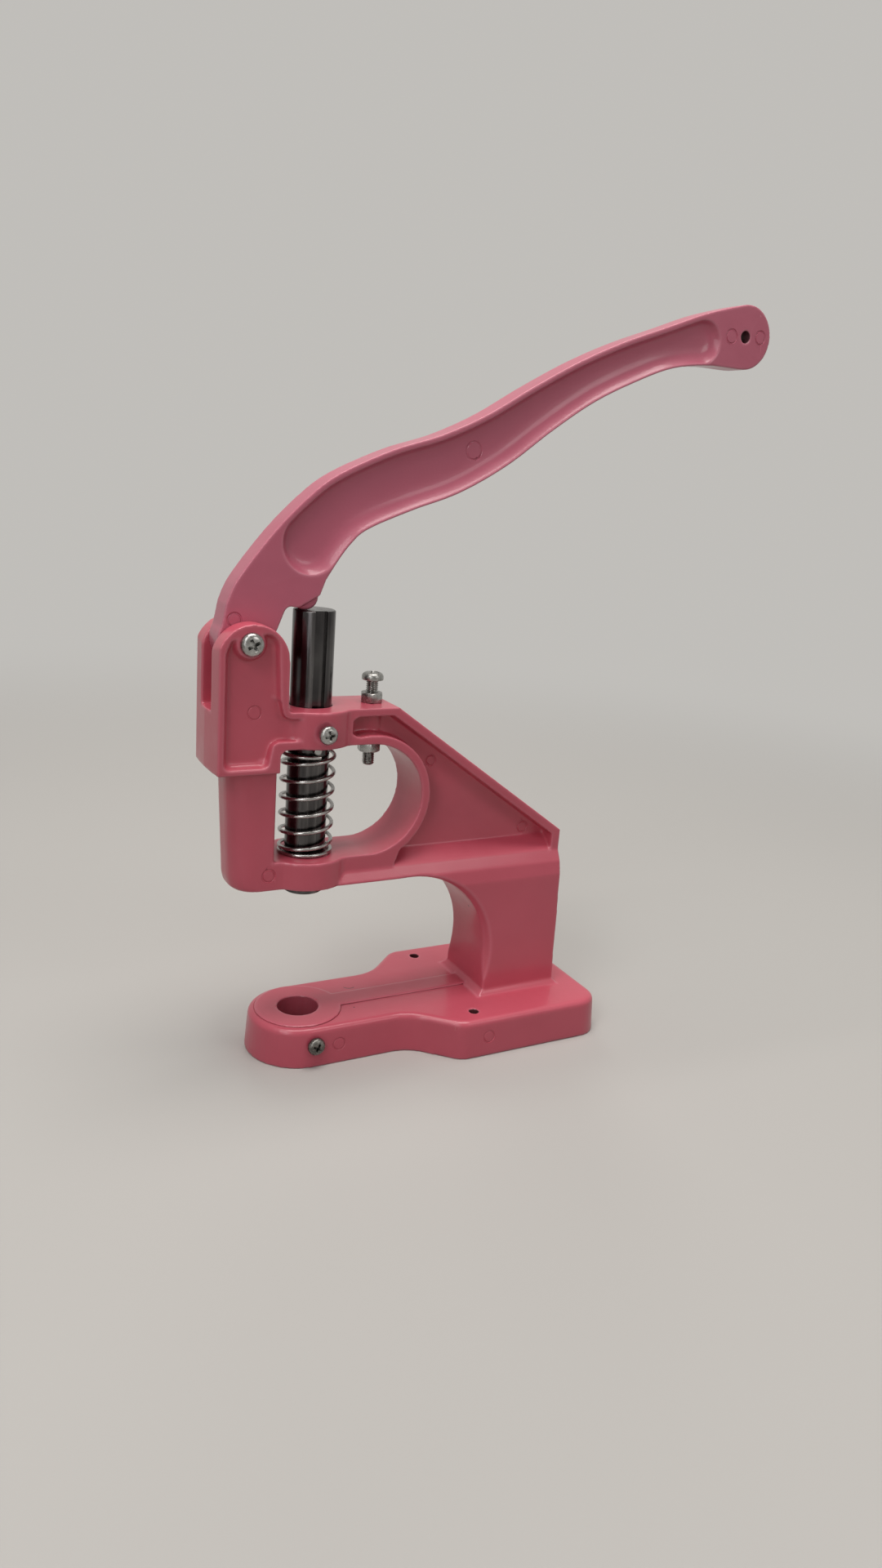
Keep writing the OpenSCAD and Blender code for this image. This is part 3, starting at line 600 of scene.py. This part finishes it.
# A casting is a merged copy of the CAD node with every corner rounded, as metal leaves a mould.
def casting(name, spec):
    piece = copied(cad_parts[spec["node"]], name)
    piece.parent = None
    for key in [k for k in piece.keys() if k.startswith("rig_")]:
        del piece[key]
    pick(piece)
    bpy.ops.object.mode_set(mode="EDIT")
    bpy.ops.mesh.select_all(action="SELECT")
    bpy.ops.mesh.remove_doubles(threshold=1e-6)
    bpy.ops.object.mode_set(mode="OBJECT")
    points = sharpPoints(piece.data)
    modify(piece, "REMESH", mode="VOXEL", voxel_size=spec["voxel"] * mm, adaptivity=0)
    for iterations, share in spec["smoothing"]:
        smoothBy(piece, iterations, share)
    modify(piece, "DECIMATE", ratio=spec["keep"])
    marks = []
    for mark in spec["ejectorMarks"]:
        bpy.ops.object.select_all(action="DESELECT")
        bpy.ops.mesh.primitive_torus_add(
            major_radius=mark["radius"] * mm, minor_radius=markSize["groove"] * mm,
            major_segments=48, minor_segments=8)
        marks.append(place(bpy.context.object, (90 + mark.get("lean", 0), 0, 0), mark["at"]))
    for hole in spec["holes"]:
        marks.append(rod(hole["radius"], hole["length"], hole.get("turn", (0, 0, 0)), hole["at"], 72))
    cut(piece, join(marks))
    for crease in spec["creases"]:
        cut(piece, crease())
    for nick in spec["nicks"]:
        bpy.ops.object.select_all(action="DESELECT")
        bpy.ops.mesh.primitive_ico_sphere_add(subdivisions=2, radius=markSize["nick"] * mm)
        cut(piece, place(bpy.context.object, at=nick))
    markEdges(piece, points)
    pick(piece)
    bpy.ops.object.shade_smooth()
    modify(piece, "WEIGHTED_NORMAL", keep_sharp=False)
    finish(piece, spec["node"], spec["body"], spec["finish"])
    report(f"{name}, {sum(len(p.vertices) - 2 for p in piece.data.polygons)} triangles")


frameCasting = {
    "node": "frame", "body": "press_body", "finish": "roseEnamel", "voxel": 0.6,
    "smoothing": [(8, frameShare)], "keep": 0.21,
    "ejectorMarks": [
        {"at": (-32.2, -14.0, 179.7), "radius": 3.1}, {"at": (-23.0, -14.0, 100.1), "radius": 3.1},
        {"at": (64.1, -5.0, 149.8), "radius": 2.6}, {"at": (123.2, -5.0, 109.3), "radius": 2.9},
        {"at": (88.6, -46.57, 10.6), "radius": 3.1, "lean": -3.9},
        {"at": (13.0, -26.0, 10.2), "radius": 3.1, "lean": -3.9},
    ],
    "holes": [
        {"at": (0, 0, 10), "radius": 10.5, "length": 60}, {"at": (0, 0, 140), "radius": 10.06, "length": 100},
        {"at": (84.7, -35.35, 10), "radius": 2.5, "length": 60},
        {"at": (84.7, 35.35, 10), "radius": 2.5, "length": 60},
        {"at": (-35.8, 0, 211.5), "radius": 3.05, "length": 60, "turn": (90, 0, 0)},
    ],
    "nicks": [(10.9, 2.1, 21.4), (-10.7, 2.4, 21.4)], "creases": [landCrease],
}
leverCasting = {
    "node": "lever", "body": "hand_lever", "finish": "mauveEnamel", "voxel": 0.5,
    "smoothing": [(8, evenShare), (120, dishShare)], "keep": 0.4,
    "ejectorMarks": [
        {"at": (76.4, -2.85, 301.0), "radius": 4.1}, {"at": (220.5, -7.1, 368.5), "radius": 3.4},
        {"at": (239.9, -7.1, 370.0), "radius": 3.3}, {"at": (-40.4, -7.1, 220.6), "radius": 3.1},
    ],
    "holes": [
        {"at": (229.9, 0, 369.2), "radius": 2.9, "length": 30, "turn": (90, 0, 0)},
        {"at": (-35.8, 0, 211.5), "radius": 3.05, "length": 30, "turn": (90, 0, 0)},
    ],
    "nicks": [], "creases": [],
}

casting("frameCasting", frameCasting)
casting("leverCasting", leverCasting)


ramSpec = {
    "radius": 10.0, "ease": 0.8, "slotWidth": 6.0, "slotDepth": 2.5, "slotBottom": 169.8,
    "pinHole": 2.02, "pinHeight": 159.6, "socket": 4.05, "socketDepth": 16.0, "pit": (-5.4, -9.0, 194.3),
    "pitRadius": 0.65, "pitFlatness": 0.7, "bevel": 0.12,
}


def makeRam():
    spec = ramSpec
    low, high = (v.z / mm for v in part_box("ram"))
    r, e = spec["radius"], spec["ease"]
    angles = [math.radians(15 * i) for i in range(7)]
    corner = [(r - e * (1 - math.sin(a)), e * (1 - math.cos(a))) for a in angles]
    profile = [(0, low)] + [(x, low + z) for x, z in corner]
    profile += [(x, high - z) for x, z in reversed(corner)] + [(0, high)]
    ram = turned("ramPlunger", profile, 128)
    depth = spec["slotDepth"]
    half = spec["slotWidth"] / 2
    slot = block((-half, -r - 1, spec["slotBottom"]), (half, depth - r, high + 5))
    cut(slot, rod(half, depth + 1, (90, 0, 0), (0, (depth - 1) / 2 - r, spec["slotBottom"])), "UNION")
    cut(ram, slot)
    cut(ram, rod(spec["pinHole"], 4 * r, (90, 0, 0), (0, 0, spec["pinHeight"])))
    cut(ram, rod(spec["socket"], 2 * spec["socketDepth"], at=(0, 0, low)))
    bpy.ops.object.select_all(action="DESELECT")
    bpy.ops.mesh.primitive_ico_sphere_add(subdivisions=2, radius=spec["pitRadius"] * mm,
                                          location=Vector(spec["pit"]) * mm)
    bpy.ops.transform.resize(value=(1, 1, spec["pitFlatness"]))
    cut(ram, place(bpy.context.object))
    modify(ram, "BEVEL", width=spec["bevel"] * mm, segments=2, limit_method="ANGLE",
           angle_limit=math.radians(40))
    shade(ram, 35)
    finish(ram, "ram", "ram_unit", "blackSteel")


pinSpec = {"radius": 2.0, "half": 12.95, "ease": 0.5, "shoulder": (0.15, 0.25), "height": 159.6}


def makePin():
    r, h, e = pinSpec["radius"], pinSpec["half"], pinSpec["ease"]
    inward, outward = pinSpec["shoulder"]
    profile = [(0, -h), (r - e, -h), (r - inward, e - outward - h), (r, e - h),
               (r, h - e), (r - inward, h - e + outward), (r - e, h), (0, h)]
    pin = turned("springCrossPin", profile, 48)
    place(pin, (90, 0, 0), (0, 0, pinSpec["height"]))
    shade(pin, 35)
    finish(pin, "spring_pin", "ram_unit", "zincSteel")


springSpec = {
    "radius": 12.6, "wire": 1.9, "turns": 7.35, "start": 150, "stepsPerTurn": 48, "sides": 14,
    "low": 107.15, "high": 156.55, "leverSwing": 55, "dropPerRadian": 34.05, "blend": 5,
    "pitch": [
        (0, 0), (0.7, 0.012), (1.1, 0.045), (1.6, 0.125), (5.9, 0.87), (6.35, 0.95), (6.75, 1), (7.35, 1),
    ],
}


# Share of the rise reached after some turns: closed turns at both ends and an even pitch between them.
def springRise(turns):
    table = springSpec["pitch"]
    for (t0, r0), (t1, r1) in zip(table, table[1:]):
        if turns <= t1:
            return r0 + (r1 - r0) * (turns - t0) / (t1 - t0)
    return table[-1][1]


def makeSpring():
    spec = springSpec
    steps = round(spec["turns"] * spec["stepsPerTurn"])
    bpy.ops.object.select_all(action="DESELECT")
    bpy.ops.mesh.primitive_circle_add(vertices=spec["sides"], radius=spec["wire"] / 2 * mm)
    spring = bpy.context.object
    spring.name = "coilSpring"
    place(spring, (90, 0, 0), (spec["radius"], 0, 0))
    ring = [vertex.co.copy() for vertex in spring.data.vertices]
    modify(spring, "SCREW", axis="Z", angle=2 * math.pi * spec["turns"], screw_offset=1.0, iterations=1,
           steps=steps, render_steps=steps, use_merge_vertices=False)
    mesh = spring.data
    sides = spec["sides"]
    rise = spec["high"] - spec["low"]
    window = range(-spec["blend"], spec["blend"] + 1)
    smooth = []
    for i in range(steps + 1):
        places = [min(spec["turns"], max(0, (i + k) / spec["stepsPerTurn"])) for k in window]
        smooth.append(sum(springRise(turns) for turns in places) / len(window))
    for i, vertex in enumerate(mesh.vertices):
        step, side = divmod(i, sides)
        vertex.co.z = ring[side].z + (spec["low"] + rise * smooth[step]) * mm
    place(spring, (0, 0, spec["start"]))
    pick(spring)
    bpy.ops.object.mode_set(mode="EDIT")
    bpy.ops.mesh.select_mode(type="EDGE")
    bpy.ops.mesh.select_all(action="DESELECT")
    bpy.ops.mesh.select_non_manifold()
    bpy.ops.mesh.fill_holes(sides=0)
    bpy.ops.mesh.select_mode(type="VERT")
    bpy.ops.mesh.select_all(action="SELECT")
    bpy.ops.mesh.normals_make_consistent(inside=False)
    bpy.ops.object.mode_set(mode="OBJECT")
    shade(spring, 40)
    finish(spring, "return_spring", "press_body", "springSteel")
    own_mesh(spring)


screwSpecs = {
    "pivotPanScrew": {
        "node": "pivot_screw", "body": "press_body", "thread": 6.0, "pitch": 1.0, "length": 42.48,
        "turn": (90, 0, 0), "at": (-35.8, -18.0, 211.5), "spin": 28,
    },
    "stopPanScrew": {
        "node": "stop_screw", "body": "stop", "thread": 6.0, "pitch": 1.0, "length": 42.5,
        "turn": (0, 0, 0), "at": (31.6, 0, 191.1), "spin": 55,
    },
    "guidePanScrew": {
        "node": "guide_screw", "body": "press_body", "thread": 5.0, "pitch": 0.8, "length": 15.4,
        "turn": (90, 0, 0), "at": (0, -23.2, 170.3), "spin": 12,
    },
    "diePanScrew": {
        "node": "die_screw", "body": "die_clamp", "thread": 5.0, "pitch": 0.8, "length": 15.2,
        "turn": (90, 0, 0), "at": (0, -26.7, 12.1), "spin": 65, "finish": "darkZinc",
    },
}
# Tip, run-out and the head's lower edge are in millimetres. The rest are shares, powers and counts.
screwForm = {
    "headRadius": 0.89, "headHeight": 0.65, "lowerEdge": (0.25, 0.07), "crownFrom": 0.35, "crownPower": 0.6,
    "crownSteps": 12, "tip": 0.6, "threadDepth": 0.54, "runOut": 0.6, "flank": 1.25, "crest": 0.12,
    "rowsPerPitch": 8, "sides": 56,
    "armLength": 1.45, "armWidth": 0.29, "recessDepth": 0.62, "armTaper": (0.35, 0.6, 1),
}


# Pan head screw pointing down from its seat at height 0, with rolled thread and a cross recess.
def panScrew(name, spec):
    form = screwForm
    d, pitch, length, tip = spec["thread"], spec["pitch"], spec["length"], form["tip"]
    headRadius, headHeight = form["headRadius"] * d, form["headHeight"] * d
    rows = round(length / (pitch / form["rowsPerPitch"]))
    profile = [(0, -length), (d / 2 - tip, -length)]
    profile += [(d / 2, -length + tip + (length - tip) * i / rows) for i in range(rows + 1)]
    edge, nip = form["lowerEdge"]
    profile += [(headRadius - edge, 0), (headRadius - nip, nip), (headRadius, edge)]
    base = form["crownFrom"]
    for i in range(form["crownSteps"] + 1):
        a = math.radians(90 / form["crownSteps"] * i)
        profile.append((headRadius * max(0, math.cos(a)) ** form["crownPower"],
                        headHeight * (base + (1 - base) * math.sin(a))))
    screw = turned(name, profile, form["sides"])
    depth = form["threadDepth"] * pitch
    for vertex in screw.data.vertices:
        x, y, z = vertex.co / mm
        if abs(math.hypot(x, y) - d / 2) < 0.01 and z < -0.02:
            phase = (z / pitch - math.atan2(y, x) / (2 * math.pi)) % 1
            groove = min(1, max(0, form["flank"] * abs(2 * phase - 1) - form["crest"]))
            fade = min(1, -z / form["runOut"])
            scale = 1 - depth * groove * fade / (d / 2)
            vertex.co.x *= scale
            vertex.co.y *= scale
    armLength, armWidth = form["armLength"] * headRadius, form["armWidth"] * d
    recessDepth = form["recessDepth"] * headHeight
    for angle in (0, 90):
        blade = block((-armLength / 2, -armWidth / 2, headHeight - recessDepth),
                      (armLength / 2, armWidth / 2, headHeight + 1))
        pick(blade)
        bpy.ops.object.mode_set(mode="EDIT")
        bpy.ops.mesh.select_all(action="DESELECT")
        bpy.ops.object.mode_set(mode="OBJECT")
        for polygon in blade.data.polygons:
            polygon.select = polygon.normal.z < -0.9
        bpy.ops.object.mode_set(mode="EDIT")
        bpy.ops.mesh.select_mode(type="FACE")
        bpy.ops.transform.resize(value=form["armTaper"])
        bpy.ops.object.mode_set(mode="OBJECT")
        cut(screw, place(blade, (0, 0, angle)))
    place(screw, (0, 0, spec["spin"]))
    place(screw, spec["turn"], spec["at"])
    shade(screw, 32)
    finish(screw, spec["node"], spec["body"], spec.get("finish", "zincSteel"))


nutSpecs = {
    "pivotNut": {"node": "pivot_nut", "turn": (-90, 0, 0), "at": (-35.8, 18.0, 211.5), "spin": 0},
    "stopNutUpper": {"node": "stop_nut_upper", "turn": (0, 0, 0), "at": (31.6, 0, 180.0), "spin": 9},
    "stopNutLower": {"node": "stop_nut_lower", "turn": (0, 0, 0), "at": (31.6, 0, 155.41), "spin": 19},
}
nutSize = {
    "height": 4.98, "across": 10.02, "bore": 2.75, "sink": 3.25, "ease": 0.72,
    "margin": 0.1, "bevel": 0.1,
}


def hexNut(name, spec):
    height, flat = nutSize["height"], nutSize["across"] / 2
    corner = nutSize["across"] / math.sqrt(3)
    nut = rod(corner, height, (0, 0, 30), (0, 0, height / 2), 6)
    nut.name = name
    ease, margin = nutSize["ease"], nutSize["margin"]
    inner, outer = flat - margin, corner + margin
    cut(nut, turned("ease", [(0, 0), (inner, 0), (outer, ease), (outer, height - ease),
                             (inner, height), (0, height)], 96), "INTERSECT")
    bore, sink = nutSize["bore"], nutSize["sink"]
    cut(nut, turned("bore", [(0, -1), (sink + 1, -1), (bore, sink - bore), (bore, height - sink + bore),
                             (sink + 1, height + 1), (0, height + 1)], 64))
    modify(nut, "BEVEL", width=nutSize["bevel"] * mm, segments=2, limit_method="ANGLE",
           angle_limit=math.radians(28))
    place(nut, (0, 0, spec["spin"]))
    place(nut, spec["turn"], spec["at"])
    shade(nut, 30)
    finish(nut, spec["node"], "press_body", "zincSteel")


makeRam()
makePin()
makeSpring()
report("ram, pin and spring")
for screwName, screwSpec in screwSpecs.items():
    panScrew(screwName, screwSpec)
for nutName, nutSpec in nutSpecs.items():
    hexNut(nutName, nutSpec)
report("screws and nuts")


stageSpec = {
    "floor": (0.50, 0.485, 0.46, 1), "bounce": (0.20, 0.185, 0.17, 1), "back": (0.53, 0.515, 0.49, 1),
    "sky": (0.93, 0.96, 1.0, 1), "skyStrength": 0.14, "fade": (0.35, 1.3), "size": 30.0,
    "roughness": 0.8, "specular": 0.2,
}


# Rays that show the background, as against those that only carry light.
def seenRays(tree):
    path = addNode(tree, "LightPath").outputs
    seen = maths(tree, "MAXIMUM", path["Is Camera Ray"], path["Is Glossy Ray"])
    return maths(tree, "MAXIMUM", seen, path["Is Transmission Ray"])


def makeStage():
    bpy.ops.object.select_all(action="DESELECT")
    bpy.ops.mesh.primitive_plane_add(size=stageSpec["size"])
    floor = bpy.context.object
    floor.name = "floor"
    material, tree, shader, spot = startMaterial("paleFloor")
    seen = seenRays(tree)
    tree.links.new(mixed(tree, seen, stageSpec["bounce"], stageSpec["floor"]), shader.inputs["Base Color"])
    shader.inputs["Roughness"].default_value = stageSpec["roughness"]
    shader.inputs["Specular IOR Level"].default_value = stageSpec["specular"]
    away = addNode(tree, "VectorMath", {0: spot}, operation="LENGTH").outputs["Value"]
    start, end = stageSpec["fade"]
    fade = addNode(tree, "MapRange", {"Value": away, "From Min": start, "From Max": end},
                   interpolation_type="SMOOTHERSTEP")
    plain = addNode(tree, "Emission", {"Color": stageSpec["back"]})
    share = maths(tree, "MULTIPLY", seen, fade.outputs["Result"])
    both = addNode(tree, "MixShader", {0: share, 1: shader.outputs[0], 2: plain.outputs[0]})
    tree.links.new(both.outputs[0], tree.nodes["Material Output"].inputs["Surface"])
    floor.data.materials.append(material)
    world = bpy.data.worlds.new("studio")
    world.use_nodes = True
    scene.world = world
    tree = world.node_tree
    sky = tree.nodes["Background"]
    sky.inputs["Color"].default_value = stageSpec["sky"]
    sky.inputs["Strength"].default_value = stageSpec["skyStrength"]
    back = addNode(tree, "Background", {"Color": stageSpec["back"], "Strength": 1.0})
    both = addNode(tree, "MixShader", {0: seenRays(tree), 1: sky.outputs[0], 2: back.outputs[0]})
    tree.links.new(both.outputs[0], tree.nodes["World Output"].inputs["Surface"])


lamps = {
    "topBox": {
        "at": (0.05, -0.05, 2.10), "aim": (0.05, 0, 0.15), "size": (1.6, 1.1),
        "power": 37.0, "color": (1.0, 0.97, 0.94),
    },
    "leftBox": {
        "at": (-0.9, -0.6, 1.2), "aim": (0.05, 0, 0.20), "size": (0.45, 0.45),
        "power": 3.6, "color": (1.0, 0.98, 0.97),
    },
    "frontFill": {
        "at": (0.6, -1.1, 0.85), "aim": (0.1, 0, 0.28), "size": (0.5, 0.4),
        "power": 1.8, "color": (1.0, 0.98, 0.96),
    },
    "backFill": {
        "at": (0.5, 1.5, 0.9), "aim": (0.05, 0, 0.20), "size": (0.6, 0.6),
        "power": 4.0, "color": (1.0, 0.98, 0.96), "glossy": False,
    },
    "sideStrip": {
        "at": (-1.06, -1.07, 0.62), "aim": (0, 0, 0.20), "size": (0.4, 1.1),
        "power": 3.4, "color": (0.97, 0.98, 1),
    },
}


def makeLamps():
    for name, spec in lamps.items():
        bpy.ops.object.light_add(type="AREA")
        lamp = bpy.context.object
        lamp.name = name
        lamp.data.shape = "RECTANGLE"
        lamp.data.size, lamp.data.size_y = spec["size"]
        lamp.data.energy = spec["power"]
        lamp.data.color = spec["color"]
        lamp.visible_glossy = spec.get("glossy", True)
        lamp.location = spec["at"]
        lamp.rotation_euler = (Vector(spec["aim"]) - Vector(spec["at"])).to_track_quat("-Z", "Y").to_euler()


makeStage()
makeLamps()
scene.view_settings.view_transform = "Standard"
report("stage and lamps")
